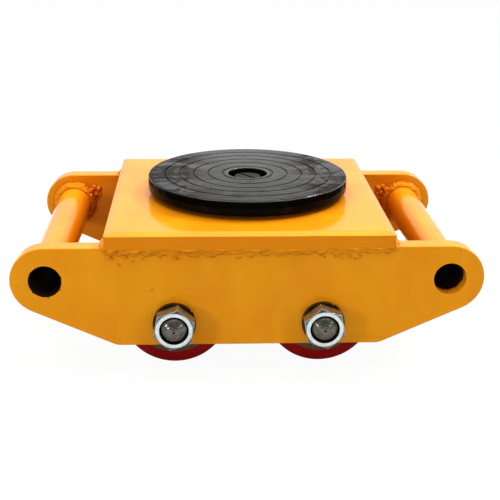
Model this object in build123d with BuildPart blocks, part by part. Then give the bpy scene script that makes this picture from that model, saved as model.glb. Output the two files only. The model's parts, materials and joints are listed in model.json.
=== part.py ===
"""Machinery moving skate: a welded steel frame on four polyurethane rollers, with a load turntable.

Millimetres. The origin is on the floor under the middle of the skate. X runs along the skate from
tow bar to tow bar, Y runs across it along the axles, and Z is up. The front side is -Y.
"""
from build123d import *
import os
from math import cos, radians, sin

# ---- driving dimensions ----------------------------------------------------------------------
LENGTH = 300                      # over the rounded ears
WIDTH = 182                       # over the outer faces of the side plates
ROLLER_R = 35                     # the rollers stand on the floor, so this is the axle height too
AXLE_SPACING = 95

# side plates: two ears joined by a straight top edge, sloping down to a flat bottom edge
EAR_R = 22
TOW_Z = 63.5                      # height of the tow bores
TOW_BORE_R = 10.5                 # for a 20 mm tow pin
PLATE_T = 12
PLATE_BOTTOM_Z = 19.5
PLATE_EDGE_R = 0.8
LOWER_CORNER_R = 12.5
LOWER_CORNER_SPACING = 163        # between the centres of the two lower corner radii
AXLE_HOLE_R = 8.25
TOW_TUBE_R = 12.5

# top plate
TOP_X = 182.2
TOP_Y = 188
TOP_T = 10
TOP_SHIFT = 0.6                   # the plate and the pivot sit slightly right of the middle
TOP_BEVEL_RUN = 3.8               # the sheared upper edges roll down slightly
TOP_BEVEL_DROP = 1.7
TOP_ROLL_R = 7
TOP_CORNER_R = 1.2

# welds
PLATE_WELD = 4
END_WELD = 3.2                    # on the side plates' top edges, at the ends of the top plate
OUTER_WELD_DROP = 5               # down the side plate, below the top plate's overhang
WELD_STOP = 1                     # beads stop short of the ends of their joints
TUBE_WELD = 3.5

# axles and their hardware (M16 ends, 24 mm across flats)
AXLE_R = 10
AXLE_END_R = 7.97
AXLE_END_RECESS = 0.2             # the rim of an axle end stops just inside its nut
AXLE_END_EDGE = 0.4
AXLE_DOME = 3
AXLE_CENTRE_R = 0.9
AXLE_CENTRE_DEPTH = 1.4
NUT_FLATS = 24
NUT_H = 10.2
NUT_BORE_R = 8.03
NUT_MOUTH_R = 9.3
NUT_CORNER_CUT = 0.9              # height of the chamfer that turns off the hexagon's corners
NUT_FACE_SHARE = 0.97             # round face of a nut, as a share of its width across flats
NUT_TURNS = {-1: 20, 1: 40}       # degrees: the left and right nuts stopped at different angles
WASHER_R = 13.7
WASHER_BORE_R = 8.3
WASHER_T = 3.2
WASHER_SLIT = 2.2
WASHER_SLIT_TILT = 20
WASHER_TURNS = {-1: 35, 1: 60}

# rollers and their ball bearings (20 x 47 x 14)
CORE_R = 27.5
CORE_BORE_R = 20.5
SIDE_GAP = 3.5                    # between a roller and its side plate
MIDDLE_GAP = 2                    # between the two rollers of an axle
SEAT_R = 23.5
BEARING_RECESS = 1
BEARING_B = 14
RING_BORE_R = 10.01
RING_OUT_R = 23.49
INNER_LAND_R = 14.4
OUTER_LAND_R = 19.2
BALL_PITCH_R = 16.75
BALL_R = 3.97
BALL_COUNT = 8
GROOVE_R = 4.03
CAGE_IN_R = 15.7
CAGE_OUT_R = 17.8
CAGE_B = 10.2
CAGE_POCKET_R = 4.1
CAGE_POCKET_PAST = 1              # pockets are cut past both walls of the cage
SEAL_IN_R = 14.55
SEAL_OUT_R = 19.19
SEAL_T = 1.2
SEAL_INSET = 0.5
SPACER_BORE_R = 10.03
SPACER_R = 13.5
TREAD_CHAMFER = 1.4

# turntable and its thrust bearing (30 x 47 x 11)
PIVOT_X = 2.5
DISC_R = 69
DISC_GAP = 2.4                    # from the top plate up to the turntable
DISC_STEEL_T = 5.5
DISC_PAD_T = 5.3
DISC_CHAMFER = 2
PAD_HOLE_R = 13.6
PAD_EDGE_R = 1.2
PAD_LIP_R = 0.8
PAD_GROOVE_STEP = 10
PAD_GROOVE_FIRST_R = 17.5
PAD_GROOVE_W = 1.1
PAD_GROOVE_DEPTH = 0.6
PAD_GROOVES = 5
RACE_R = 23.5
RACE_SEAT_R = 23.52
LOWER_RACE_BORE_R = 16
UPPER_RACE_BORE_R = 15
RACE_T = 3.5
THRUST_H = 11
THRUST_PITCH_R = 19.5
THRUST_BALL_R = 3
THRUST_BALLS = 14
THRUST_GROOVE_R = 3.05
THRUST_CAGE_T = 2.8
THRUST_CAGE_IN_R = 15.9
THRUST_CAGE_OUT_R = 23
THRUST_POCKET_R = 3.1
LOWER_RACE_DEPTH = 5.5
BOSS_R = 14.95
BOSS_DROP = 3.5
BUSH_R = 10
BUSH_SEAT_R = 10.01
BUSH_BORE_R = 7.05

# pivot screw: slotted head, shouldered shank, M12 thread, washer and lock nut under the plate
SHOULDER_R = 7
PIVOT_R = 5.97
PIVOT_HOLE_R = 6.5
HEAD_R = 9.2
HEAD_T = 3.1
HEAD_CLEARANCE = 0.1
HEAD_EDGE = 0.5
SLOT_W = 2
SLOT_DEPTH = 1.6
SLOT_ANGLE = 129
PIVOT_WASHER_R = 12
PIVOT_WASHER_T = 2.5
PIVOT_NUT_FLATS = 18
PIVOT_NUT_H = 12
PIVOT_NUT_BORE_R = 6.02
PIVOT_NUT_MOUTH_R = 6.6
PIVOT_NUT_CORNER_CUT = 1
PIVOT_THREAD_PAST = 2
PIVOT_POINT = 1
TINY = 0.001

# ---- worked out ------------------------------------------------------------------------------
TOW_X = LENGTH / 2 - EAR_R
HALF_W = WIDTH / 2
INNER_Y = HALF_W - PLATE_T
PLATE_TOP_Z = TOW_Z + EAR_R
TOP_Z = PLATE_TOP_Z + TOP_T
AXLE_X = AXLE_SPACING / 2
AXLE_Z = ROLLER_R
NUT_FACE_Y = HALF_W + WASHER_T + NUT_H
ROLLER_OUT_Y = INNER_Y - SIDE_GAP
ROLLER_IN_Y = MIDDLE_GAP / 2
ROLLER_MID_Y = (ROLLER_OUT_Y + ROLLER_IN_Y) / 2
ROLLER_W = ROLLER_OUT_Y - ROLLER_IN_Y
BEARING_OFFSET = ROLLER_W / 2 - BEARING_RECESS - BEARING_B / 2
INNER_SPACER_LENGTH = 2 * BEARING_OFFSET - BEARING_B
POCKET_DEPTH = CAGE_OUT_R - CAGE_IN_R + 2 * CAGE_POCKET_PAST
LOWER_RACE_Z = TOP_Z - LOWER_RACE_DEPTH
UPPER_RACE_TOP_Z = LOWER_RACE_Z + THRUST_H
THRUST_BALL_Z = LOWER_RACE_Z + THRUST_H / 2
DISC_Z = TOP_Z + DISC_GAP
PAD_Z = DISC_Z + DISC_STEEL_T
PAD_TOP_Z = PAD_Z + DISC_PAD_T
BOSS_Z = DISC_Z - BOSS_DROP
HEAD_Z = PAD_Z + HEAD_CLEARANCE
PIVOT_WASHER_Z = PLATE_TOP_Z - PIVOT_WASHER_T / 2
PIVOT_NUT_Z = PLATE_TOP_Z - PIVOT_WASHER_T - PIVOT_NUT_H
PIVOT_END_Z = PIVOT_NUT_Z - PIVOT_THREAD_PAST
TOP_OVERHANG = TOP_Y / 2 - HALF_W
END_SPACER_LENGTH = SIDE_GAP + BEARING_RECESS
MIDDLE_SPACER_LENGTH = MIDDLE_GAP + 2 * BEARING_RECESS

SIDES = {"left": -1, "right": 1}          # the two axles, along X
FACES = {"front": -1, "rear": 1}          # the two halves of an axle, along Y


def finish(solid, name):
    """Label a finished piece and write it as the node of the same name."""
    solid.label = name
    export_step(solid, f"parts/{name}.step")


def across(x, y, z):
    """A plane facing the front, for outlines of the frame and round parts on an axle."""
    return Plane(origin=(x, y, z), x_dir=(1, 0, 0), z_dir=(0, -1, 0))


def level(z):
    """A horizontal plane at a height."""
    return Plane.XY.offset(z)


def ring(plane, outer_r, inner_r, length):
    """A plain ring centred on a plane, with its axis along the plane's normal."""
    with BuildPart(plane) as body:
        Cylinder(outer_r, length)
        Cylinder(inner_r, length, mode=Mode.SUBTRACT)
    return body.part


def copies(piece, planes):
    """The same piece at several planes, as separate solids of one node."""
    with BuildPart() as group:
        with Locations(*planes):
            add(piece)
    return group.part


# ---- frame -----------------------------------------------------------------------------------
def side_plate(face):
    with BuildPart() as plate:
        middle = across(0, face * (HALF_W - PLATE_T / 2), 0)
        with BuildSketch(middle):
            with Locations((-TOW_X, TOW_Z), (TOW_X, TOW_Z)):
                Circle(EAR_R)
            corner_x = LOWER_CORNER_SPACING / 2
            corner_z = PLATE_BOTTOM_Z + LOWER_CORNER_R
            with Locations((-corner_x, corner_z), (corner_x, corner_z)):
                Circle(LOWER_CORNER_R)
            make_hull()
        extrude(amount=PLATE_T / 2, both=True)
        rims = plate.faces().filter_by(Axis.Y)
        fillet([edge for rim in rims for edge in rim.outer_wire().edges()], PLATE_EDGE_R)
        with BuildSketch(middle):
            with Locations((-TOW_X, TOW_Z), (TOW_X, TOW_Z)):
                Circle(TOW_BORE_R)
            with Locations((-AXLE_X, AXLE_Z), (AXLE_X, AXLE_Z)):
                Circle(AXLE_HOLE_R)
        extrude(amount=PLATE_T / 2, both=True, mode=Mode.SUBTRACT)
    return plate.part


def top_plate():
    with BuildPart() as plate:
        with BuildSketch(level(PLATE_TOP_Z)):
            with Locations((TOP_SHIFT, 0)):
                Rectangle(TOP_X, TOP_Y)
        extrude(amount=TOP_T)
        top = plate.faces().sort_by(Axis.Z)[-1]
        chamfer(top.edges(), TOP_BEVEL_RUN, TOP_BEVEL_DROP, reference=top)
        fillet(plate.faces().sort_by(Axis.Z)[-1].edges(), TOP_ROLL_R)
        fillet(plate.edges().filter_by(Axis.Z), TOP_CORNER_R)
        with Locations((PIVOT_X, 0, TOP_Z)):
            CounterBoreHole(PIVOT_HOLE_R, RACE_SEAT_R, LOWER_RACE_DEPTH)
    return plate.part


def fillet_weld(corner, along_one, along_other, leg_one, leg_other, length):
    """A straight bead in a corner, its two legs lying along the two plates that it joins."""
    section = Plane(origin=corner, x_dir=along_one, z_dir=Vector(along_one).cross(Vector(along_other)))
    with BuildPart() as bead:
        with BuildSketch(section):
            with BuildLine():
                Polyline((0, 0), (leg_one, 0), (0, leg_other), close=True)
            make_face()
        extrude(amount=length / 2, both=True)
    return bead.part


def plate_welds():
    """The beads that hold the top plate: outside, inside and at the ends of each side plate."""
    down = (0, 0, -1)
    up = (0, 0, 1)
    with BuildPart() as beads:
        for face in FACES.values():
            outward = (0, face, 0)
            inward = (0, -face, 0)
            outer = (TOP_SHIFT, face * HALF_W, PLATE_TOP_Z)
            add(fillet_weld(outer, outward, down, TOP_OVERHANG, OUTER_WELD_DROP, TOP_X - 2 * WELD_STOP))
            inner = (TOP_SHIFT, face * INNER_Y, PLATE_TOP_Z)
            add(fillet_weld(inner, inward, down, PLATE_WELD, PLATE_WELD, TOP_X - 2 * WELD_STOP))
            for side in SIDES.values():
                end = (TOP_SHIFT + side * TOP_X / 2, face * (HALF_W - PLATE_T / 2), PLATE_TOP_Z)
                add(fillet_weld(end, (side, 0, 0), up, END_WELD, END_WELD, PLATE_T - 2 * WELD_STOP))
    return beads.part


def tube_welds():
    """A ring bead at each end of each tow tube, on the side plate's inner face."""
    with BuildPart() as beads:
        for side in SIDES.values():
            for face in FACES.values():
                root_x = side * TOW_X + TOW_TUBE_R
                with BuildSketch(level(TOW_Z)):
                    with BuildLine():
                        Polyline(
                            (root_x, face * INNER_Y),
                            (root_x + TUBE_WELD, face * INNER_Y),
                            (root_x, face * (INNER_Y - TUBE_WELD)),
                            close=True,
                        )
                    make_face()
                revolve(axis=Axis((side * TOW_X, 0, TOW_Z), (0, 1, 0)))
    return beads.part


# ---- axles and fasteners ---------------------------------------------------------------------
def axle(x):
    """A shaft with shoulders against the side plates and domed, centre-drilled threaded ends."""
    rim_y = NUT_FACE_Y - AXLE_END_RECESS
    rim_r = AXLE_END_R - AXLE_END_EDGE
    tip_y = rim_y + AXLE_DOME
    dome_r = (rim_r**2 + AXLE_DOME**2) / (2 * AXLE_DOME)
    axis = Axis((x, 0, AXLE_Z), (0, 1, 0))
    section = Plane(origin=(x, 0, AXLE_Z))
    with BuildPart() as shaft:
        with BuildSketch(section):
            with BuildLine():
                stepped = Polyline(
                    (0, 0),
                    (AXLE_R, 0),
                    (AXLE_R, INNER_Y),
                    (AXLE_END_R, INNER_Y),
                    (AXLE_END_R, rim_y - AXLE_END_EDGE),
                    (rim_r, rim_y),
                )
                dome = RadiusArc(stepped @ 1, (0, tip_y), -dome_r)
                Line(dome @ 1, stepped @ 0)
            make_face()
        revolve(axis=axis)
        with BuildSketch(section):
            with BuildLine():
                Polyline((0, tip_y), (AXLE_CENTRE_R, tip_y), (0, tip_y - AXLE_CENTRE_DEPTH), close=True)
            make_face()
        revolve(axis=axis, mode=Mode.SUBTRACT)
        mirror(about=Plane.XZ)
    return shaft.part


def hex_nut(flats, height, bore_r, mouth_r, corner_cut):
    """A nut standing on its face, with its corners turned off and both thread mouths countersunk."""
    corner_r = flats / 2 / cos(radians(30))
    face_r = flats / 2 * NUT_FACE_SHARE
    with BuildPart() as nut:
        with BuildSketch():
            RegularPolygon(flats / 2, 6, major_radius=False)
        extrude(amount=height)
        with BuildSketch(Plane.XZ):
            with BuildLine():
                Polyline(
                    (0, 0),
                    (face_r, 0),
                    (corner_r, corner_cut),
                    (corner_r, height - corner_cut),
                    (face_r, height),
                    (0, height),
                    close=True,
                )
            make_face()
        revolve(axis=Axis.Z, mode=Mode.INTERSECT)
        Hole(bore_r)
        circles = nut.edges().filter_by(GeomType.CIRCLE)
        mouths = circles.filter_by(lambda edge: abs(edge.radius - bore_r) < TINY)
        chamfer(mouths, mouth_r - bore_r)
    return nut.part


def spring_washer():
    """A split ring of square section, standing on its face, with a slanting slit."""
    with BuildPart(level(WASHER_T / 2)) as washer:
        Cylinder(WASHER_R, WASHER_T)
        Cylinder(WASHER_BORE_R, WASHER_T, mode=Mode.SUBTRACT)
        with Locations(Location((WASHER_R, 0, 0), (WASHER_SLIT_TILT, 0, 0))):
            Box(WASHER_R, WASHER_SLIT, 2 * WASHER_T, mode=Mode.SUBTRACT)
    return washer.part


def on_axle_ends(distance, turns):
    """Planes facing outwards on the four axle ends, turned about the axle by an angle for each."""
    planes = []
    for side in SIDES.values():
        for face in FACES.values():
            angle = radians(turns[side])
            planes.append(
                Plane(
                    origin=(side * AXLE_X, face * distance, AXLE_Z),
                    x_dir=(cos(angle), 0, sin(angle)),
                    z_dir=(0, face, 0),
                )
            )
    return planes


# ---- rollers and their bearings --------------------------------------------------------------
def roller_middle(x, face):
    return across(x, face * ROLLER_MID_Y, AXLE_Z)


def bearing_middles(x, face):
    """The middle planes of the two bearings in one roller."""
    return [across(x, face * (ROLLER_MID_Y + s * BEARING_OFFSET), AXLE_Z) for s in (-1, 1)]


def bearing_ring(outer_r, inner_r):
    """One ring of a ball bearing, with its raceway groove."""
    with BuildPart() as body:
        Cylinder(outer_r, BEARING_B)
        Cylinder(inner_r, BEARING_B, mode=Mode.SUBTRACT)
        Torus(BALL_PITCH_R, GROOVE_R, mode=Mode.SUBTRACT)
    return body.part


def bearing_cage():
    with BuildPart() as cage:
        Cylinder(CAGE_OUT_R, CAGE_B)
        Cylinder(CAGE_IN_R, CAGE_B, mode=Mode.SUBTRACT)
        with PolarLocations(BALL_PITCH_R, BALL_COUNT):
            Cylinder(CAGE_POCKET_R, POCKET_DEPTH, rotation=(0, 90, 0), mode=Mode.SUBTRACT)
    return cage.part


def bearing_balls():
    with BuildPart() as balls:
        with PolarLocations(BALL_PITCH_R, BALL_COUNT):
            Sphere(BALL_R)
    return balls.part


def bearing_seals():
    """The two rubber seals of one bearing, held in the outer ring and clear of the inner one."""
    offset = BEARING_B / 2 - SEAL_INSET - SEAL_T / 2
    with BuildPart() as seals:
        for s in (-1, 1):
            add(ring(level(s * offset), SEAL_OUT_R, SEAL_IN_R, SEAL_T))
    return seals.part


def roller_core(x, face):
    seat_depth = BEARING_RECESS + BEARING_B
    with BuildPart(roller_middle(x, face)) as core:
        Cylinder(CORE_R, ROLLER_W)
        Cylinder(CORE_BORE_R, ROLLER_W, mode=Mode.SUBTRACT)
        seat_offset = (ROLLER_W - seat_depth) / 2
        with Locations((0, 0, -seat_offset), (0, 0, seat_offset)):
            Cylinder(SEAT_R, seat_depth, mode=Mode.SUBTRACT)
    return core.part


def roller_tread(x, face):
    with BuildPart(roller_middle(x, face)) as tread:
        Cylinder(ROLLER_R, ROLLER_W)
        chamfer(tread.edges().filter_by(GeomType.CIRCLE), TREAD_CHAMFER)
        Cylinder(CORE_R, ROLLER_W, mode=Mode.SUBTRACT)
    return tread.part


# ---- turntable -------------------------------------------------------------------------------
def turntable_plate():
    """A turned plate with a boss below for the bush and a seat round it for the upper race."""
    with BuildPart() as plate:
        with BuildSketch(Plane.XZ):
            with BuildLine():
                Polyline(
                    (BUSH_SEAT_R, BOSS_Z),
                    (BOSS_R, BOSS_Z),
                    (BOSS_R, UPPER_RACE_TOP_Z),
                    (RACE_SEAT_R, UPPER_RACE_TOP_Z),
                    (RACE_SEAT_R, DISC_Z),
                    (DISC_R - DISC_CHAMFER, DISC_Z),
                    (DISC_R, DISC_Z + DISC_CHAMFER),
                    (DISC_R, PAD_Z),
                    (BUSH_SEAT_R, PAD_Z),
                    close=True,
                )
            make_face()
        revolve(axis=Axis.Z)
    return plate.part


def turntable_pad():
    """The rubber pad, with concentric grooves in its top."""
    with BuildPart(level(PAD_Z + DISC_PAD_T / 2)) as pad:
        Cylinder(DISC_R, DISC_PAD_T)
        Cylinder(PAD_HOLE_R, DISC_PAD_T, mode=Mode.SUBTRACT)
        top = pad.faces().sort_by(Axis.Z)[-1]
        fillet(top.outer_wire().edges(), PAD_EDGE_R)
        fillet(pad.faces().sort_by(Axis.Z)[-1].inner_wires().edges(), PAD_LIP_R)
        with BuildSketch(level(PAD_TOP_Z)):
            for step in reversed(range(PAD_GROOVES)):
                groove_r = PAD_GROOVE_FIRST_R + step * PAD_GROOVE_STEP
                Circle(groove_r + PAD_GROOVE_W / 2)
                Circle(groove_r - PAD_GROOVE_W / 2, mode=Mode.SUBTRACT)
        extrude(amount=-PAD_GROOVE_DEPTH, mode=Mode.SUBTRACT)
    return pad.part


def thrust_race(bottom_z, bore_r):
    with BuildPart(level(bottom_z + RACE_T / 2)) as race:
        Cylinder(RACE_R, RACE_T)
        Cylinder(bore_r, RACE_T, mode=Mode.SUBTRACT)
        with Locations((0, 0, THRUST_BALL_Z - bottom_z - RACE_T / 2)):
            Torus(THRUST_PITCH_R, THRUST_GROOVE_R, mode=Mode.SUBTRACT)
    return race.part


def thrust_cage():
    with BuildPart(level(THRUST_BALL_Z)) as cage:
        Cylinder(THRUST_CAGE_OUT_R, THRUST_CAGE_T)
        Cylinder(THRUST_CAGE_IN_R, THRUST_CAGE_T, mode=Mode.SUBTRACT)
        with PolarLocations(THRUST_PITCH_R, THRUST_BALLS):
            Sphere(THRUST_POCKET_R, mode=Mode.SUBTRACT)
    return cage.part


def thrust_balls():
    with BuildPart(level(THRUST_BALL_Z)) as balls:
        with PolarLocations(THRUST_PITCH_R, THRUST_BALLS):
            Sphere(THRUST_BALL_R)
    return balls.part


def pivot_screw():
    """A slotted shoulder screw: the shoulder clamps on the top plate and leaves the turntable free."""
    head_top = HEAD_Z + HEAD_T
    with BuildPart() as screw:
        with BuildSketch(Plane.XZ):
            with BuildLine():
                Polyline(
                    (0, PIVOT_END_Z),
                    (PIVOT_R - PIVOT_POINT, PIVOT_END_Z),
                    (PIVOT_R, PIVOT_END_Z + PIVOT_POINT),
                    (PIVOT_R, LOWER_RACE_Z),
                    (SHOULDER_R, LOWER_RACE_Z),
                    (SHOULDER_R, HEAD_Z),
                    (HEAD_R, HEAD_Z),
                    (HEAD_R, head_top - HEAD_EDGE),
                    (HEAD_R - HEAD_EDGE, head_top),
                    (0, head_top),
                    close=True,
                )
            make_face()
        revolve(axis=Axis.Z)
        with BuildSketch(level(head_top)):
            Rectangle(2 * HEAD_R, SLOT_W, rotation=SLOT_ANGLE)
        extrude(amount=-SLOT_DEPTH, mode=Mode.SUBTRACT)
    return screw.part


# ---- write every node ------------------------------------------------------------------------
os.makedirs("parts", exist_ok=True)

for name, face in FACES.items():
    finish(side_plate(face), f"side_plate_{name}")
finish(top_plate(), "top_plate")
for name, side in SIDES.items():
    finish(ring(across(side * TOW_X, 0, TOW_Z), TOW_TUBE_R, TOW_BORE_R, 2 * INNER_Y), f"tow_tube_{name}")
finish(plate_welds(), "plate_welds")
finish(tube_welds(), "tube_welds")

axle_nut = hex_nut(NUT_FLATS, NUT_H, NUT_BORE_R, NUT_MOUTH_R, NUT_CORNER_CUT)
finish(copies(axle_nut, on_axle_ends(HALF_W + WASHER_T, NUT_TURNS)), "axle_nuts")
finish(copies(spring_washer(), on_axle_ends(HALF_W, WASHER_TURNS)), "spring_washers")

spacer_ends = []
spacer_insides = []
spacer_middles = []
for name, side in SIDES.items():
    x = side * AXLE_X
    finish(axle(x), f"axle_{name}")
    bearings = bearing_middles(x, -1) + bearing_middles(x, 1)
    finish(copies(bearing_ring(INNER_LAND_R, RING_BORE_R), bearings), f"inner_rings_{name}")
    spacer_middles.append(across(x, 0, AXLE_Z))
    for face in FACES.values():
        spacer_ends.append(across(x, face * (INNER_Y - END_SPACER_LENGTH / 2), AXLE_Z))
        spacer_insides.append(roller_middle(x, face))
for name, length, places in (
    ("end_spacers", END_SPACER_LENGTH, spacer_ends),
    ("bearing_spacers", INNER_SPACER_LENGTH, spacer_insides),
    ("middle_spacers", MIDDLE_SPACER_LENGTH, spacer_middles),
):
    finish(copies(ring(Plane.XY, SPACER_R, SPACER_BORE_R, length), places), name)

for side_name, side in SIDES.items():
    for face_name, face in FACES.items():
        x = side * AXLE_X
        place = f"{side_name}_{face_name}"
        bearings = bearing_middles(x, face)
        finish(roller_core(x, face), f"roller_core_{place}")
        finish(roller_tread(x, face), f"roller_tread_{place}")
        finish(copies(bearing_ring(RING_OUT_R, OUTER_LAND_R), bearings), f"outer_rings_{place}")
        finish(copies(bearing_seals(), bearings), f"bearing_seals_{place}")
        finish(copies(bearing_cage(), bearings), f"ball_cages_{place}")
        finish(copies(bearing_balls(), bearings), f"bearing_balls_{place}")

lock_nut = hex_nut(PIVOT_NUT_FLATS, PIVOT_NUT_H, PIVOT_NUT_BORE_R, PIVOT_NUT_MOUTH_R, PIVOT_NUT_CORNER_CUT)
for name, piece, z in (
    ("turntable_plate", turntable_plate(), 0),
    ("turntable_pad", turntable_pad(), 0),
    ("pivot_bush", ring(Plane.XY, BUSH_R, BUSH_BORE_R, PAD_Z - BOSS_Z), (BOSS_Z + PAD_Z) / 2),
    ("upper_race", thrust_race(UPPER_RACE_TOP_Z - RACE_T, UPPER_RACE_BORE_R), 0),
    ("lower_race", thrust_race(LOWER_RACE_Z, LOWER_RACE_BORE_R), 0),
    ("thrust_cage", thrust_cage(), 0),
    ("thrust_balls", thrust_balls(), 0),
    ("pivot_screw", pivot_screw(), 0),
    ("pivot_washer", ring(Plane.XY, PIVOT_WASHER_R, PIVOT_HOLE_R, PIVOT_WASHER_T), PIVOT_WASHER_Z),
    ("pivot_nut", lock_nut, PIVOT_NUT_Z),
):
    finish(copies(piece, [Plane(origin=(PIVOT_X, 0, z))]), name)
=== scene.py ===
"""Looks for the machinery moving skate: enamel, weld beads, zinc and rubber in a plain studio."""
import json
import math
import random

import bmesh
import bpy
from mathutils import Matrix, Vector, noise


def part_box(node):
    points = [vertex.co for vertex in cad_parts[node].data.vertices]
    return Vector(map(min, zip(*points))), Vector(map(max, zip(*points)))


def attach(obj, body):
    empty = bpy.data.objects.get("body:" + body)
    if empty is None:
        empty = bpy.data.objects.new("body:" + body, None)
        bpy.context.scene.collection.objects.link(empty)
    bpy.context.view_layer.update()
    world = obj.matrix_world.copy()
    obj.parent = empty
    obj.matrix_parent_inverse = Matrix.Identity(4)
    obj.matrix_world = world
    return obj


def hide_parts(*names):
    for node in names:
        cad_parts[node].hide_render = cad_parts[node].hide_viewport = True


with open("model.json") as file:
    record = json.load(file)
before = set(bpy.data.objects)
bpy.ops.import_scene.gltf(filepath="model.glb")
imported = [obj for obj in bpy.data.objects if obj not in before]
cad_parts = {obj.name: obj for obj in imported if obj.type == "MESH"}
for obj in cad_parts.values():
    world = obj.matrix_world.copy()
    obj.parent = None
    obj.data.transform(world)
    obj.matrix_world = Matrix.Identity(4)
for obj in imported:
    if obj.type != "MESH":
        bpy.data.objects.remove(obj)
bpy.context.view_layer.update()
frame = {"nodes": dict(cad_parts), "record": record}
MM = 0.001

# ---- places taken from the frame -------------------------------------------------------------
plate_low, plate_high = (Vector(corner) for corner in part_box("side_plate_front"))
top_low, top_high = (Vector(corner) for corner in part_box("top_plate"))
tube_low, tube_high = (Vector(corner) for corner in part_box("tow_tube_right"))
hole_low, hole_high = (Vector(corner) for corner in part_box("pivot_screw"))
pad_low, pad_high = (Vector(corner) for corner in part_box("turntable_pad"))
axle_low, axle_high = (Vector(corner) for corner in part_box("axle_right"))

HALF_W = -plate_low.y                      # outer faces of the side plates
INNER_Y = -plate_high.y                    # their inner faces
PLATE_TOP_Z = plate_high.z
TOW_X = (tube_low.x + tube_high.x) / 2
TOW_Z = (tube_low.z + tube_high.z) / 2
TUBE_R = (tube_high.z - tube_low.z) / 2
BORE_R = TUBE_R - 2 * MM
AXLE_X = (axle_low.x + axle_high.x) / 2
AXLE_Z = (axle_low.z + axle_high.z) / 2
PIVOT_X = (hole_low.x + hole_high.x) / 2
PAD_R = (pad_high.x - pad_low.x) / 2
PAD_HOLE_R = 13.6 * MM                     # the hole in the pad above the pivot screw
NUT_MOUTH_R = 9.35 * MM                    # the countersunk mouth of the axle nuts


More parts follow.
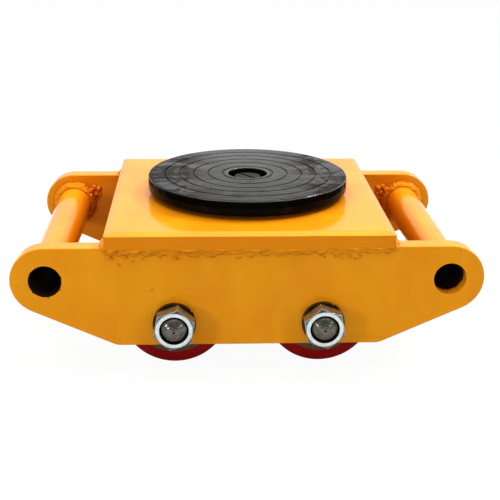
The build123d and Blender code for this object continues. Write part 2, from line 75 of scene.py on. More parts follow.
# ---- material building blocks ----------------------------------------------------------------
class Shader:
    """A small helper that adds nodes to one material and links them in a row."""

    def __init__(self, name):
        self.material = bpy.data.materials.new(name)
        self.material.use_nodes = True
        self.tree = self.material.node_tree
        self.bsdf = self.tree.nodes["Principled BSDF"]
        coordinates = self.node("ShaderNodeTexCoord")
        self.place = coordinates.outputs["Object"]

    def node(self, kind, **settings):
        made = self.tree.nodes.new(kind)
        for key, value in settings.items():
            setattr(made, key, value)
        return made

    def link(self, source, target):
        self.tree.links.new(source, target)

    def set(self, **values):
        for key, value in values.items():
            self.bsdf.inputs[key.replace("_", " ")].default_value = value

    def noise(self, size_mm, detail=3.0, roughness=0.5, distortion=0.0, stretch=(1, 1, 1)):
        """Noise whose lumps are about size_mm across, as a 0 to 1 value."""
        mapping = self.node("ShaderNodeMapping")
        mapping.inputs["Scale"].default_value = stretch
        self.link(self.place, mapping.inputs["Vector"])
        texture = self.node("ShaderNodeTexNoise")
        texture.inputs["Scale"].default_value = 1 / (size_mm * MM)
        texture.inputs["Detail"].default_value = detail
        texture.inputs["Roughness"].default_value = roughness
        texture.inputs["Distortion"].default_value = distortion
        self.link(mapping.outputs["Vector"], texture.inputs["Vector"])
        return texture.outputs["Fac"]

    def remap(self, value, low, high, out_low=0.0, out_high=1.0):
        """Stretch a value's low..high range to out_low..out_high, clamped."""
        made = self.node("ShaderNodeMapRange", clamp=True)
        self.link(value, made.inputs["Value"])
        made.inputs["From Min"].default_value = low
        made.inputs["From Max"].default_value = high
        made.inputs["To Min"].default_value = out_low
        made.inputs["To Max"].default_value = out_high
        return made.outputs["Result"]

    def mix(self, factor, first, second):
        """A colour between two colours or two colour outputs."""
        made = self.node("ShaderNodeMix", data_type="RGBA")
        self.link(factor, made.inputs["Factor"])
        for value, socket in ((first, made.inputs["A"]), (second, made.inputs["B"])):
            if isinstance(value, tuple):
                socket.default_value = (*value, 1.0)
            else:
                self.link(value, socket)
        return made.outputs["Result"]

    def maths(self, operation, first, second=0.0):
        made = self.node("ShaderNodeMath", operation=operation)
        for value, socket in zip((first, second), made.inputs):
            if isinstance(value, (int, float)):
                socket.default_value = value
            else:
                self.link(value, socket)
        return made.outputs["Value"]

    def axes(self, source=None):
        """The x, y and z of a vector output, by default the place on the object."""
        parts = self.node("ShaderNodeSeparateXYZ")
        self.link(self.place if source is None else source, parts.inputs["Vector"])
        return parts.outputs["X"], parts.outputs["Y"], parts.outputs["Z"]

    def facing(self):
        """The x, y and z of the direction that the surface faces."""
        geometry = self.node("ShaderNodeNewGeometry")
        return self.axes(geometry.outputs["Normal"])

    def shelter(self, reach_mm):
        """0 in the open, nearing 1 where other surfaces within reach crowd round."""
        made = self.node("ShaderNodeAmbientOcclusion", samples=6)
        made.inputs["Distance"].default_value = reach_mm * MM
        return self.maths("SUBTRACT", 1.0, made.outputs["AO"])

    def rounded(self, width_mm):
        """The direction that the surface would face if its edges were rounded over width_mm."""
        made = self.node("ShaderNodeBevel", samples=6)
        made.inputs["Radius"].default_value = width_mm * MM
        return made.outputs["Normal"]

    def edges(self, width_mm):
        """1 along sharp edges, within about width_mm of them, and 0 elsewhere."""
        geometry = self.node("ShaderNodeNewGeometry")
        agree = self.node("ShaderNodeVectorMath", operation="DOT_PRODUCT")
        self.link(self.rounded(width_mm), agree.inputs[0])
        self.link(geometry.outputs["Normal"], agree.inputs[1])
        return self.remap(agree.outputs["Value"], 0.90, 0.995, 1.0, 0.0)

    def length(self, one, other):
        """The length of a vector with these two parts."""
        squares = self.maths("ADD", self.maths("POWER", one, 2.0), self.maths("POWER", other, 2.0))
        return self.maths("SQRT", squares)

    def off_axis(self, x, z):
        """Distance from the axes that run across the skate at +-x, z."""
        place_x, _, place_z = self.axes()
        across = self.maths("SUBTRACT", self.maths("ABSOLUTE", place_x), x)
        return self.length(across, self.maths("SUBTRACT", place_z, z))

    def off_pivot(self):
        """Distance from the turntable's axis."""
        place_x, place_y, _ = self.axes()
        return self.length(self.maths("SUBTRACT", place_x, PIVOT_X), place_y)

    def between_plates(self):
        """1 between the side plates and on their inner faces, and 0 outside them."""
        _, place_y, _ = self.axes()
        return self.maths("LESS_THAN", self.maths("ABSOLUTE", place_y), INNER_Y + 0.1 * MM)

    def bump(self, height, depth_mm, strength=1.0, under=None):
        """Bump from a 0 to 1 height over depth_mm, on top of another bump if one is given."""
        made = self.node("ShaderNodeBump")
        made.inputs["Strength"].default_value = strength
        made.inputs["Distance"].default_value = depth_mm * MM
        self.link(height, made.inputs["Height"])
        if under is not None:
            self.link(under, made.inputs["Normal"])
        return made.outputs["Normal"]

    def color(self, source):
        self.link(source, self.bsdf.inputs["Base Color"])

    def roughness(self, source):
        self.link(source, self.bsdf.inputs["Roughness"])

    def specular(self, source):
        self.link(source, self.bsdf.inputs["Specular IOR Level"])

    def normal(self, source):
        self.link(source, self.bsdf.inputs["Normal"])


# ---- materials -------------------------------------------------------------------------------
PAINT_LIGHT = (0.96, 0.360, 0.006)
PAINT_DEEP = (0.92, 0.308, 0.0045)
# dust, runs and specks in the enamel, and painted shade in the hollows of weld beads
PAINT_DUST_AND_HOLLOW_SHADE = (0.60, 0.19, 0.004)
PAINT_SOFT_SHADE = (0.78, 0.19, 0.0015)          # painted shade close round nuts, in the corners of welds and on the top plate's upright edges
PAINT_SHADE = (0.74, 0.034, 0.0004)        # deep between painted faces
PAINT_INBOARD_SHADE = (0.62, 0.135, 0.0010)         # painted shade on the inner sides of the tow tubes
PAINT_SHINE = (1.0, 0.60, 0.11, 1.0)
# near-black inside the tow bores: bare steel, with painted shade deep in them
BORE_BARE_AND_SHADE = (0.012, 0.008, 0.006)
CHIP_DEPTH_LEFT = 0.5 * MM                 # how far paint reaches into the tow bores
CHIP_DEPTH_RIGHT = 8.0 * MM
CHIP_RAGGED = 0.35 * MM

# the darker and the lighter cloud of each finish
# painted light on the zinc: lit flat faces, shaded facets, sides tinted as a reflection of the orange
# plate, edge highlights and shaded nut mouths
ZINC_LIT_FACE = (0.44, 0.52, 0.52), (0.60, 0.66, 0.65)
ZINC_SHADED_FACET = (0.08, 0.105, 0.12), (0.18, 0.22, 0.24)
ZINC_SIDE_REFLECTION = (0.28, 0.28, 0.19), (0.46, 0.45, 0.30)
ZINC_EDGE_HIGHLIGHT = (1.0, 0.98, 0.93)
ZINC_MOUTH_SHADE = (0.010, 0.009, 0.008)
OXIDE = (0.004, 0.0035, 0.003), (0.014, 0.013, 0.012)
# lighter edges: worn metal, and a painted highlight
OXIDE_WORN_EDGE_HIGHLIGHT = (0.09, 0.085, 0.08)
SPRING = (0.012, 0.008, 0.006), (0.045, 0.034, 0.026)
AXLE = (0.075, 0.071, 0.060), (0.145, 0.136, 0.115)
AXLE_RING_GAP = 1.3 * MM                   # between the rings that the lathe tool left
RED = (0.24, 0.0016, 0.0016), (0.34, 0.0026, 0.0026)
DISC_BLACK = (0.0012, 0.0010, 0.0010), (0.003, 0.0026, 0.0024)
SEAL_BLACK = (0.012, 0.012, 0.012), (0.03, 0.03, 0.03)
PAD_BLACK = (0.0018, 0.0015, 0.0013)
PAD_STREAK = (0.022, 0.021, 0.019)
PAD_PATCH_TONE = (0.012, 0.009, 0.007)
# painted highlight on the lip of the hole above the pivot screw
PAD_HOLE_RIM_HIGHLIGHT = (0.09, 0.088, 0.082)
PAD_PATCHY_FROM = 18 * MM                 # sideways from the pivot, where the pad turns patchy and dull
PAD_PATCHY_TO = 42 * MM
PAD_SHEEN_REACH = 60 * MM


def enamel(s):
    """The paint's own tone: slow drift, runs, specks and fine lines of dust."""
    drift = s.remap(s.noise(45, detail=2), 0.35, 0.65)
    tone = s.mix(drift, PAINT_DEEP, PAINT_LIGHT)
    runs = s.remap(s.noise(16, detail=4, roughness=0.6, stretch=(1, 1, 0.25)), 0.40, 0.72)
    tone = s.mix(s.maths("MULTIPLY", runs, 0.16), tone, PAINT_DUST_AND_HOLLOW_SHADE)
    specks = s.remap(s.noise(1.3, detail=3, roughness=0.7), 0.74, 0.80)
    tone = s.mix(specks, tone, PAINT_DUST_AND_HOLLOW_SHADE)
    lines = s.noise(1.7, detail=3, roughness=0.6, stretch=(0.05, 1, 1))
    return s.mix(s.remap(lines, 0.62, 0.72, 0.0, 0.22), tone, PAINT_DUST_AND_HOLLOW_SHADE)


def sheltered(s, tone, corner_shade):
    """Painted shade: a deeper tone in close corners, and a redder one on what lies between the side
    plates.
    """
    tone = s.mix(s.remap(s.shelter(7), 0.15, 0.75, 0.0, corner_shade), tone, PAINT_SOFT_SHADE)
    level = s.remap(s.facing()[2], 0.5, 0.95, 1.0, 0.2)
    crowded = s.remap(s.shelter(55), 0.22, 0.66)
    shade = s.maths("MULTIPLY", crowded, s.maths("MULTIPLY", level, s.between_plates()))
    return s.mix(shade, tone, PAINT_SHADE)


def shade_tube_insides(s, tone):
    """Painted shade on the inner sides of the tow tubes."""
    place_x = s.axes()[0]
    inboard = s.maths("MULTIPLY", s.maths("SIGN", place_x), s.maths("MULTIPLY", s.facing()[0], -1.0))
    outlying = s.maths("GREATER_THAN", s.maths("ABSOLUTE", place_x), top_high.x + 6 * MM)
    where = s.maths("MULTIPLY", outlying, s.between_plates())
    inboard_shade = s.maths("MULTIPLY", s.remap(inboard, 0.30, 0.85), where)
    return s.mix(s.maths("MULTIPLY", inboard_shade, 0.85), tone, PAINT_INBOARD_SHADE)


def shade_upright_edges(s, tone):
    """Painted shade: the upright edges of the top plate are a tone deeper than its top."""
    upright = s.remap(s.facing()[2], 0.2, 0.6, 1.0, 0.0)
    on_top_plate = s.maths("GREATER_THAN", s.axes()[2], PLATE_TOP_Z + 0.1 * MM)
    upright_shade = s.maths("MULTIPLY", upright, on_top_plate)
    return s.mix(s.maths("MULTIPLY", upright_shade, 0.6), tone, PAINT_SOFT_SHADE)


def bare_and_shaded_bore(s):
    """1 inside each tow bore, beyond the ragged edge where its paint stops, and 0 elsewhere: bare steel,
    coloured near-black as painted shade.
    """
    place_x, place_y, _ = s.axes()
    ragged = s.remap(s.noise(2.2, detail=4), 0.3, 0.7, -CHIP_RAGGED, CHIP_RAGGED)
    radius = s.maths("ADD", s.off_axis(TOW_X, TOW_Z), ragged)
    in_bore = s.maths("LESS_THAN", radius, BORE_R + 0.5 * MM)
    right = s.maths("GREATER_THAN", place_x, 0.0)
    reach = s.remap(right, 0, 1, HALF_W - CHIP_DEPTH_LEFT, HALF_W - CHIP_DEPTH_RIGHT)
    depth = s.maths("ADD", s.maths("ABSOLUTE", place_y), s.maths("MULTIPLY", ragged, 2.0))
    return s.maths("MULTIPLY", in_bore, s.maths("LESS_THAN", depth, reach))


def yellow_paint(name, corner_shade, rough_cast):
    """Thick orange-yellow enamel with orange peel and slow waves, near-black inside the tow bores as bare
    steel with painted shade.

    The second argument says how much painted shade deepens close corners; rough_cast how much the surface
    is a weld's, with painted shade in its hollows.
    """
    s = Shader(name)
    s.set(Metallic=0.0, IOR=1.5, Specular_Tint=PAINT_SHINE)
    s.set(Specular_IOR_Level=0.5 - 0.3 * rough_cast)
    tone = sheltered(s, enamel(s), corner_shade)
    pits = s.noise(1.9, detail=3, roughness=0.6, distortion=0.4, stretch=(0.22, 1, 1))
    # painted shade: darker in the hollows of the weld's rough cast
    tone = s.mix(s.remap(pits, 0.34, 0.50, 0.5 * rough_cast, 0.0), tone, PAINT_DUST_AND_HOLLOW_SHADE)
    tone = shade_upright_edges(s, shade_tube_insides(s, tone))
    bare_and_shaded = bare_and_shaded_bore(s)
    s.color(s.mix(bare_and_shaded, tone, BORE_BARE_AND_SHADE))
    gloss = s.remap(s.noise(9, detail=3), 0.3, 0.7, 0.09, 0.18)
    s.roughness(s.maths("MAXIMUM", gloss, s.maths("MULTIPLY", bare_and_shaded, 0.6)))
    peel = s.bump(s.noise(2.4, detail=2), 0.05, 0.5)
    waves = s.bump(s.noise(15, detail=2), 0.40, 0.40, under=peel)
    s.normal(s.bump(pits, 2.0, rough_cast, under=waves))
    return s.material


def zinc():
    """Zinc plating with painted light: flat faces painted bright and edges painted as highlights, corner
    facets painted duller, sides painted brownish as a reflection of the orange plate, mouths painted dark
    as shade.
    """
    s = Shader("zinc_plate")
    s.set(Metallic=1.0)
    cloud = s.remap(s.noise(4, detail=4), 0.3, 0.7)
    outward = s.maths("ABSOLUTE", s.facing()[1])
    flat = s.remap(outward, 0.985, 0.995)
    side = s.remap(outward, 0.30, 0.60, 1.0, 0.0)
    front = s.mix(flat, s.mix(cloud, *ZINC_SHADED_FACET), s.mix(cloud, *ZINC_LIT_FACE))
    tone = s.mix(side, front, s.mix(cloud, *ZINC_SIDE_REFLECTION))
    tone = s.mix(s.edges(0.5), tone, ZINC_EDGE_HIGHLIGHT)
    mouth = s.maths("LESS_THAN", s.off_axis(AXLE_X, AXLE_Z), NUT_MOUTH_R)
    s.color(s.mix(mouth, tone, ZINC_MOUTH_SHADE))
    rough = s.remap(s.noise(2.2, detail=4), 0.3, 0.7, 0.24, 0.36)
    s.roughness(s.maths("ADD", rough, s.maths("MULTIPLY", side, 0.18)))
    s.normal(s.bump(s.noise(0.9, detail=3), 0.04, 0.4, under=s.rounded(0.5)))
    return s.material


def black_oxide():
    """Oiled black oxide on the pivot screw: nearly black, with edges painted lighter as wear and as a
    painted highlight.
    """
    s = Shader("black_oxide")
    s.set(IOR=1.5, Specular_IOR_Level=0.03)
    cloud = s.remap(s.noise(3, detail=4), 0.3, 0.7)
    s.color(s.mix(s.edges(0.25), s.mix(cloud, *OXIDE), OXIDE_WORN_EDGE_HIGHLIGHT))
    s.roughness(s.remap(cloud, 0, 1, 0.12, 0.24))
    s.normal(s.bump(s.noise(1.2, detail=3), 0.05, 0.5))
    return s.material


def spring_steel():
    """Dark tempered steel on the spring washers."""
    s = Shader("spring_steel")
    s.set(Metallic=1.0)
    s.color(s.mix(s.remap(s.noise(3, detail=4), 0.3, 0.7), *SPRING))
    s.roughness(s.remap(s.noise(1.5, detail=4), 0.3, 0.7, 0.22, 0.40))
    s.normal(s.bump(s.noise(0.8, detail=3), 0.05, 0.4))
    return s.material


def turned_steel():
    """Dark oiled steel, with rings left by the tool about each axle and a soft cloudy tone."""
    s = Shader("turned_steel")
    s.set(Metallic=1.0)
    s.color(s.mix(s.remap(s.noise(2.5, detail=4), 0.3, 0.7), *AXLE))
    s.roughness(s.remap(s.noise(1.5, detail=3), 0.3, 0.7, 0.20, 0.30))
    turn = s.maths("MULTIPLY", s.off_axis(AXLE_X, AXLE_Z), 2 * math.pi / AXLE_RING_GAP)
    rings = s.bump(s.remap(s.maths("SINE", turn), -1, 1), 0.07, 0.9)
    s.normal(s.bump(s.noise(1.8, detail=3), 0.05, 0.4, under=rings))
    return s.material


def bright_steel(name, color, rough):
    """Plain metal of one colour, a little darker in clouds."""
    s = Shader(name)
    s.set(Metallic=1.0)
    cloud = s.remap(s.noise(4, detail=3), 0.3, 0.7)
    s.color(s.mix(cloud, tuple(0.8 * c for c in color), color))
    s.roughness(s.remap(s.noise(1.5, detail=3), 0.3, 0.7, rough, rough + 0.15))
    s.normal(s.bump(s.noise(0.8, detail=3), 0.02, 0.4))
    return s.material


def polyurethane():
    """Cast deep red polyurethane: satin, with faint cloudiness."""
    s = Shader("polyurethane")
    s.set(IOR=1.45, Specular_IOR_Level=0.16)
    s.color(s.mix(s.remap(s.noise(14, detail=3), 0.3, 0.7), *RED))
    s.roughness(s.remap(s.noise(6, detail=4), 0.3, 0.7, 0.28, 0.44))
    s.normal(s.bump(s.noise(3.0, detail=3), 0.08, 0.4))
    return s.material


def black_paint():
    """Black enamel on the turntable plate."""
    s = Shader("black_paint")
    s.set(IOR=1.5, Specular_IOR_Level=0.03)
    s.color(s.mix(s.remap(s.noise(12, detail=3), 0.3, 0.7), *DISC_BLACK))
    s.roughness(s.remap(s.noise(4, detail=3), 0.3, 0.7, 0.16, 0.30))
    s.normal(s.bump(s.noise(1.8, detail=3), 0.05, 0.4))
    return s.material


def pad_rubber():
    """Black rubber: a dull even middle, patchy duller sides, a glossy rolled edge, black walls and a
    painted highlight round the hole.
    """
    s = Shader("pad_rubber")
    s.set(IOR=1.5)
    up = s.remap(s.facing()[2], 0.2, 0.9)
    broad = s.noise(24, detail=5, roughness=0.65, distortion=1.2, stretch=(0.7, 1.1, 1))
    broad = s.remap(broad, 0.42, 0.58)
    mottle = s.noise(7, detail=5, roughness=0.7, distortion=0.8, stretch=(0.6, 1.2, 1))
    mottle = s.remap(mottle, 0.40, 0.60)
    streaks = s.noise(5, detail=5, roughness=0.65, distortion=0.5, stretch=(0.35, 1.4, 1))
    streaks = s.remap(streaks, 0.38, 0.66)
    place_x, place_y, _ = s.axes()
    sideways = s.maths("ABSOLUTE", s.maths("SUBTRACT", place_x, PIVOT_X))
    patchy_band = s.remap(sideways, PAD_PATCHY_FROM, PAD_PATCHY_TO)
    blotches = s.remap(s.maths("ADD", broad, mottle), 0.55, 1.15)
    patches = s.maths("MULTIPLY", patchy_band, blotches)
    sheen = s.remap(place_y, -PAD_SHEEN_REACH, PAD_SHEEN_REACH, 0.07, 0.30)
    sheen = s.maths("ADD", sheen, s.maths("MULTIPLY", streaks, 0.10))
    sheen = s.maths("MULTIPLY", sheen, s.maths("SUBTRACT", 1.0, s.maths("MULTIPLY", patches, 0.93)))
    # the rolled outer edge is polished and the walls below it stay dark
    rolled = s.maths("MULTIPLY", s.maths("MULTIPLY", up, s.maths("SUBTRACT", 1.0, up)), 4.0)
    outer = s.maths("GREATER_THAN", s.off_pivot(), PAD_R - 2.0 * MM)
    rolled = s.maths("MULTIPLY", rolled, outer)
    sheen = s.maths("MULTIPLY", sheen, s.maths("ADD", s.maths("MULTIPLY", up, 0.93), 0.07))
    s.specular(s.maths("ADD", sheen, s.maths("MULTIPLY", rolled, 0.7)))
    tone = s.mix(s.maths("MULTIPLY", streaks, up), PAD_BLACK, PAD_STREAK)
    tone = s.mix(s.maths("MULTIPLY", patches, up), tone, PAD_PATCH_TONE)
    # painted highlight round the lip of the pad's hole
    rim = s.remap(s.off_pivot(), PAD_HOLE_R + 0.9 * MM, PAD_HOLE_R + 1.3 * MM, 1.0, 0.0)
    s.color(s.mix(s.maths("MULTIPLY", rim, up), tone, PAD_HOLE_RIM_HIGHLIGHT))
    rough = s.remap(s.maths("ADD", broad, s.maths("MULTIPLY", streaks, 0.5)), 0, 1.5, 0.14, 0.34)
    s.roughness(s.maths("MAXIMUM", rough, s.maths("MULTIPLY", rolled, 0.26)))
    grain = s.maths("MULTIPLY", s.noise(1.5, detail=3), s.maths("SUBTRACT", 1.0, rolled))
    s.normal(s.bump(grain, 0.03, 0.4, under=s.rounded(1.6)))
    return s.material


def dull_rubber():
    """Black rubber of the bearing seals."""
    s = Shader("seal_rubber")
    s.set(IOR=1.5)
    cloud = s.remap(s.noise(3, detail=3), 0.3, 0.7)
    s.color(s.mix(cloud, *SEAL_BLACK))
    s.roughness(s.remap(cloud, 0, 1, 0.4, 0.6))
    return s.material


MATERIALS = {
    "yellow_paint": yellow_paint("yellow_paint", 0.30, 0.0),
    "bead_paint": yellow_paint("bead_paint", 0.0, 0.8),
    "zinc_plate": zinc(),
    "spring_steel": spring_steel(),
    "plain_steel": turned_steel(),
    "black_oxide": black_oxide(),
    "core_steel": bright_steel("core_steel", (0.13, 0.085, 0.055), 0.40),
    "polyurethane": polyurethane(),
    "bearing_steel": bright_steel("bearing_steel", (0.70, 0.70, 0.70), 0.12),
    "seal_rubber": dull_rubber(),
    "cage_steel": bright_steel("cage_steel", (0.55, 0.53, 0.48), 0.3),
    "bronze": bright_steel("bronze", (0.62, 0.38, 0.15), 0.25),
    "black_paint": black_paint(),
    "pad_rubber": pad_rubber(),
}

for part in frame["record"]["subparts"]:
    node = frame["nodes"][part["node"]]
    finish = MATERIALS[part["material_slot"]]
    if not node.material_slots:
        node.data.materials.append(finish)
    for slot in node.material_slots:
        slot.material = finish


# ---- weld beads ------------------------------------------------------------------------------
BEAD_STEP = 0.8 * MM
BEAD_SIDES = 10
BEAD_BURIED = 0.6 * MM                     # the root lies a little inside the plates
RIDGE = 2.6 * MM                           # size of the lumps across a bead
RIDGE_STRETCH = 3.2                        # how many times longer they are along the skate
RIPPLE_LENGTH = 2.4 * MM
RIPPLE = 0.05
OUTER_LUMP = 0.62                          # how lumpy the beads are
END_LUMP = 0.25
TUBE_LUMP = 0.15
UP = Vector((0, 0, 1))


def swell(place, along, angle, lump):
    """How much fuller or thinner a bead is here: long ridges, short lumps and the ripples of the pool."""
    drawn = Vector((place.x / RIDGE_STRETCH, place.y, place.z)) / RIDGE
    slow = noise.noise(drawn)
    small = noise.noise(1.7 * drawn + Vector((7.3, 0, 0)))
    ripple = math.sin(2 * math.pi * (along / RIPPLE_LENGTH - 0.35 * math.sin(angle * 2)))
    return 1 + lump * (0.7 * slow + 0.9 * small) + RIPPLE * ripple


def add_bead(form, spine, leg_a, leg_b, lump, closed=False):
    """A weld bead along a spine of (corner, a, b): the corner of two plates and the ways they lie."""
    sections = []
    last = len(spine) - 1
    for index, (corner, a, b) in enumerate(spine):
        end = 1.0 if closed else min(1.0, 0.45 + 0.2 * min(index, last - index))
        section = [form.verts.new(corner - (a + b) * BEAD_BURIED)]
        for step in range(BEAD_SIDES + 1):
            angle = math.pi / 2 * step / BEAD_SIDES
            flat = 1 - 0.14 * math.sin(2 * angle)
            reach = a * leg_a * math.cos(angle) + b * leg_b * math.sin(angle)
            full = swell(corner + reach, index * BEAD_STEP, angle, lump)
            section.append(form.verts.new(corner + reach * flat * full * end))
        sections.append(section)
    pairs = list(zip(sections, sections[1:]))
    if closed:
        pairs.append((sections[-1], sections[0]))
    else:
        form.faces.new(sections[0])
        form.faces.new(reversed(sections[-1]))
    for one, other in pairs:
        for side in range(len(one)):
            nxt = (side + 1) % len(one)
            form.faces.new((one[side], other[side], other[nxt], one[nxt]))


def line_spine(start, end, a, b):
    """A straight spine from start to end."""
    count = max(2, round((end - start).length / BEAD_STEP))
    return [(start.lerp(end, index / count), a, b) for index in range(count + 1)]


def ring_spine(centre, radius, inward):
    """Round a tube that stands on a plate: a lies on the plate, b runs along the tube."""
    count = round(2 * math.pi * radius / BEAD_STEP)
    spine = []
    for index in range(count):
        turn = 2 * math.pi * index / count
        out = Vector((math.cos(turn), 0, math.sin(turn)))
        spine.append((centre + out * radius, out, inward))
    return spine


def add_drop(form, place, radius, facing):
    """A drop of spatter, flattened against the face it landed on and slightly out of round."""
    spin = facing.to_track_quat("Z", "Y").to_matrix().to_4x4()
    squashed = Matrix.Diagonal((1, 1, 0.9, 1))
    matrix = Matrix.Translation(place) @ spin @ squashed
    drop = bmesh.ops.create_icosphere(form, subdivisions=3, radius=radius, matrix=matrix)
    for vert in drop["verts"]:
        away = vert.co - place
        vert.co = place + away * (1 + 0.22 * noise.noise(vert.co / (0.9 * radius)))


def weld_piece(form, name, node):
    """Turn a finished form into a painted piece that stands in for one node of the frame."""
    bmesh.ops.recalc_face_normals(form, faces=form.faces)
    mesh = bpy.data.meshes.new(name)
    form.to_mesh(mesh)
    form.free()
    mesh.shade_smooth()
    piece = bpy.data.objects.new(name, mesh)
    bpy.context.scene.collection.objects.link(piece)
    mesh.materials.append(MATERIALS["bead_paint"])
    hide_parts(node)
    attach(piece, "frame")


END_STOP = 1.5 * MM
OUTER_LEG = 3.3 * MM                       # under the overhang of the top plate
OUTER_DROP = 4.6 * MM                      # and down the side plate
INNER_LEG = 4.2 * MM
END_LEG = 3.6 * MM
RANDOM_DROPS = 10
# lumps at the top plate's corners: inboard of its end, into the side plate, below it, radius, in mm
CORNER_DROPS = (
    (0.0, 0.4, 0.6, 2.3),
    (2.6, 0.0, 2.4, 2.0),
)
# drops of spatter on the front face: along X, below the top plate, radius, all in mm
FRONT_DROPS = (
    (-88.0, 5.4, 1.9),
    (-85.6, 7.0, 1.2),
    (-77.4, 5.8, 1.5),
    (-66.5, 7.4, 0.9),
    (-46.5, 6.8, 1.7),
    (-43.8, 7.4, 0.9),
    (18.5, 5.4, 1.1),
    (44.5, 5.6, 1.0),
    (47.0, 6.8, 0.8),
    (54.5, 6.2, 1.3),
    (58.2, 7.4, 0.8),
    (63.0, 6.6, 1.4),
    (66.6, 7.8, 1.0),
    (69.4, 6.4, 1.1),
    (-61.6, 27.5, 1.0),
)


def plate_beads():
    """Beads under the edges of the top plate, with spatter on the side plates below them."""
    rng = random.Random(11)
    form = bmesh.new()
    left = top_low.x + END_STOP
    right = top_high.x - END_STOP
    for face in (-1, 1):
        out = Vector((0, face, 0))
        outer = Vector((0, face * HALF_W, PLATE_TOP_Z))
        inner = Vector((0, face * INNER_Y, PLATE_TOP_Z))
        for corner, a, leg_a, leg_b in (
            (outer, out, OUTER_LEG, OUTER_DROP),
            (inner, -out, INNER_LEG, INNER_LEG),
        ):
            start = corner + Vector((left, 0, 0))
            end = corner + Vector((right, 0, 0))
            add_bead(form, line_spine(start, end, a, -UP), leg_a, leg_b, OUTER_LUMP)
        for side, edge_x in ((-1, top_low.x), (1, top_high.x)):
            start = Vector((edge_x, face * (HALF_W - 0.8 * MM), PLATE_TOP_Z))
            end = Vector((edge_x, face * INNER_Y, PLATE_TOP_Z))
            spine = line_spine(start, end, Vector((side, 0, 0)), UP)
            add_bead(form, spine, END_LEG, END_LEG, END_LUMP)
            for inboard, buried, below, radius in CORNER_DROPS:
                corner = Vector((edge_x, face * HALF_W, PLATE_TOP_Z))
                place = corner + Vector((-side * inboard, -face * buried, -below)) * MM
                add_drop(form, place, radius * MM, out)
        for _ in range(RANDOM_DROPS):
            x = rng.uniform(left, right)
            z = PLATE_TOP_Z - rng.triangular(4.5, 12.0, 5.0) * MM
            radius = rng.triangular(0.4, 1.1, 0.5) * MM
            add_drop(form, Vector((x, face * HALF_W, z)), radius, out)
        for x, below, radius in FRONT_DROPS:
            # the rear plate has its own spatter, the same welder's hand seen from the other side
            place = Vector((-face * x * MM, face * HALF_W, PLATE_TOP_Z - below * MM))
            add_drop(form, place, radius * MM, out)
    weld_piece(form, "plate_weld_beads", "plate_welds")


TUBE_LEG = 4.4 * MM
# lumps beside each tow tube on the side plates: inboard of its axis, above it, radius, in mm
TUBE_DROPS = (
    (13.0, 9.5, 2.5),
    (15.5, 12.0, 2.3),
    (18.8, 11.0, 2.5),
    (16.4, 7.0, 2.4),
    (14.2, 4.0, 2.0),
    (19.4, 6.6, 1.6),
    (17.2, 2.6, 1.3),
)


def tube_beads():
    """Ring beads where the tow tubes meet the side plates, with lumps beside them."""
    form = bmesh.new()
    for face in (-1, 1):
        inward = Vector((0, -face, 0))
        for side in (-1, 1):
            centre = Vector((side * TOW_X, face * INNER_Y, TOW_Z))
            add_bead(form, ring_spine(centre, TUBE_R, inward), TUBE_LEG, TUBE_LEG, TUBE_LUMP, closed=True)
            for inboard, above, radius in TUBE_DROPS:
                place = centre + Vector((-side * inboard, 0, above)) * MM
                add_drop(form, place, radius * MM, inward)
    weld_piece(form, "tube_weld_beads", "tube_welds")


plate_beads()
tube_beads()


# ---- studio ----------------------------------------------------------------------------------
FLOOR_SIZE = 6.0
FLOOR_BOUNCE = 0.34                        # how pale the floor is to the light that lights the skate
FLOOR_SHEEN = 0.80                         # how pale it is in reflections
FLOOR_GLOW = 0.95                          # the camera sees it almost evenly white


def floor():
    """A pale sweep, flat under the skate and far beyond the picture."""
    mesh = bpy.data.meshes.new("floor")
    form = bmesh.new()
    bmesh.ops.create_grid(form, x_segments=24, y_segments=24, size=FLOOR_SIZE)
    form.to_mesh(mesh)
    form.free()
    made = bpy.data.objects.new("floor", mesh)
    bpy.context.scene.collection.objects.link(made)
    s = Shader("floor_paper")
    s.set(Specular_IOR_Level=0.0, Roughness=0.9)
    ray = s.node("ShaderNodeLightPath").outputs
    seen = ray["Is Camera Ray"]
    paper = s.mix(s.remap(s.noise(300, detail=2), 0.3, 0.7), (0.95, 0.95, 0.95), (0.98, 0.98, 0.98))
    unseen = s.mix(ray["Is Glossy Ray"], (FLOOR_BOUNCE,) * 3, (FLOOR_SHEEN,) * 3)
    s.color(s.mix(seen, unseen, paper))
    glow = s.node("ShaderNodeEmission")
    both = s.node("ShaderNodeMixShader")
    s.link(s.maths("MULTIPLY", seen, FLOOR_GLOW), both.inputs["Fac"])
    s.link(s.bsdf.outputs["BSDF"], both.inputs[1])
    s.link(glow.outputs["Emission"], both.inputs[2])
    s.link(both.outputs["Shader"], s.tree.nodes["Material Output"].inputs["Surface"])
    made.data.materials.append(s.material)


def softbox(name, place, target, width, height, power):
    """A rectangular lamp that faces its target."""
    data = bpy.data.lights.new(name, "AREA")
    data.shape = "RECTANGLE"
    data.size = width
    data.size_y = height
    data.energy = power
    lamp = bpy.data.objects.new(name, data)
    lamp.location = place
    lamp.rotation_euler = (Vector(target) - Vector(place)).to_track_quat("-Z", "Y").to_euler()
    bpy.context.scene.collection.objects.link(lamp)


WORLD_LOW = 0.225                          # in front, at the height of the skate
WORLD_HIGH = 0.62                          # straight above
WORLD_BEHIND = 0.56                        # added behind the skate


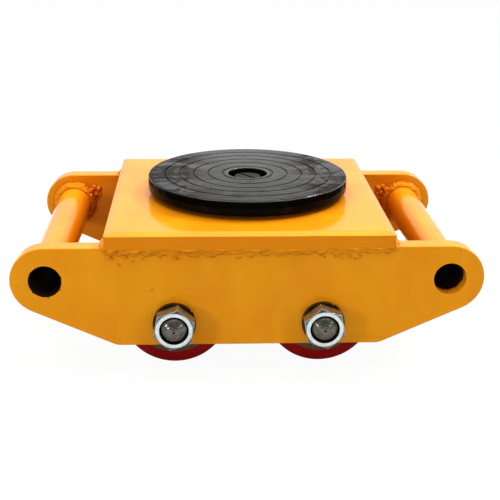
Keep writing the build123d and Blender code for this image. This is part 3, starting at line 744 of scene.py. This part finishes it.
def studio_world():
    """Light from above and from behind, dimmer in front where the photographer stands."""
    world = bpy.data.worlds.new("studio")
    world.use_nodes = True
    tree = world.node_tree
    place = tree.nodes.new("ShaderNodeTexCoord")
    parts = tree.nodes.new("ShaderNodeSeparateXYZ")
    tree.links.new(place.outputs["Generated"], parts.inputs["Vector"])
    total = tree.nodes.new("ShaderNodeMath")
    total.operation = "ADD"
    for index, (axis, low, high, out_low, out_high) in enumerate((
        ("Z", 0.0, 0.9, WORLD_LOW, WORLD_HIGH),
        ("Y", -0.1, 0.7, 0.0, WORLD_BEHIND),
    )):
        ramp = tree.nodes.new("ShaderNodeMapRange")
        ramp.inputs["From Min"].default_value = low
        ramp.inputs["From Max"].default_value = high
        ramp.inputs["To Min"].default_value = out_low
        ramp.inputs["To Max"].default_value = out_high
        tree.links.new(parts.outputs[axis], ramp.inputs["Value"])
        tree.links.new(ramp.outputs["Result"], total.inputs[index])
    background = tree.nodes["Background"]
    background.inputs["Color"].default_value = (1.0, 1.0, 1.0, 1.0)
    tree.links.new(total.outputs["Value"], background.inputs["Strength"])
    bpy.context.scene.world = world


CAMERA_PLACE = Vector((-0.0298, -0.6951, 0.2996))
CAMERA_YAW = 2.848                         # degrees to the right of straight ahead
CAMERA_PITCH = -19.632
CAMERA_ROLL = 0.59
CAMERA_FOCAL = 2.0595                      # focal length as a share of the picture's width
SENSOR = 36.0                              # mm


def camera():
    """The photographer's place: in front, a little left, looking down on the skate."""
    data = bpy.data.cameras.new("camera")
    data.sensor_width = SENSOR
    data.lens = SENSOR * CAMERA_FOCAL
    yaw, pitch, roll = (math.radians(angle) for angle in (CAMERA_YAW, CAMERA_PITCH, CAMERA_ROLL))
    forward = Vector((math.sin(yaw) * math.cos(pitch), math.cos(yaw) * math.cos(pitch), math.sin(pitch)))
    level_right = Vector((math.cos(yaw), -math.sin(yaw), 0.0))
    level_up = level_right.cross(forward)
    right = level_right * math.cos(roll) + level_up * math.sin(roll)
    up = level_up * math.cos(roll) - level_right * math.sin(roll)
    made = bpy.data.objects.new("camera", data)
    axes = Matrix((right, up, -forward)).transposed().to_4x4()
    made.matrix_world = Matrix.Translation(CAMERA_PLACE) @ axes
    bpy.context.scene.collection.objects.link(made)
    bpy.context.scene.camera = made


floor()
studio_world()
softbox("overhead", (0.0, 0.1, 1.5), (0, 0, 0.05), 2.0, 1.7, 22)
softbox("left", (-1.18, -1.03, 0.36), (0, 0, 0.05), 0.20, 0.20, 5.6)
softbox("right", (1.06, -1.12, 0.46), (0, 0, 0.05), 0.24, 0.24, 2.6)
softbox("rim", (0.80, 0.25, 1.05), (0, 0, 0.1), 0.34, 0.18, 8.0)
camera()
bpy.context.scene.view_settings.view_transform = "Standard"
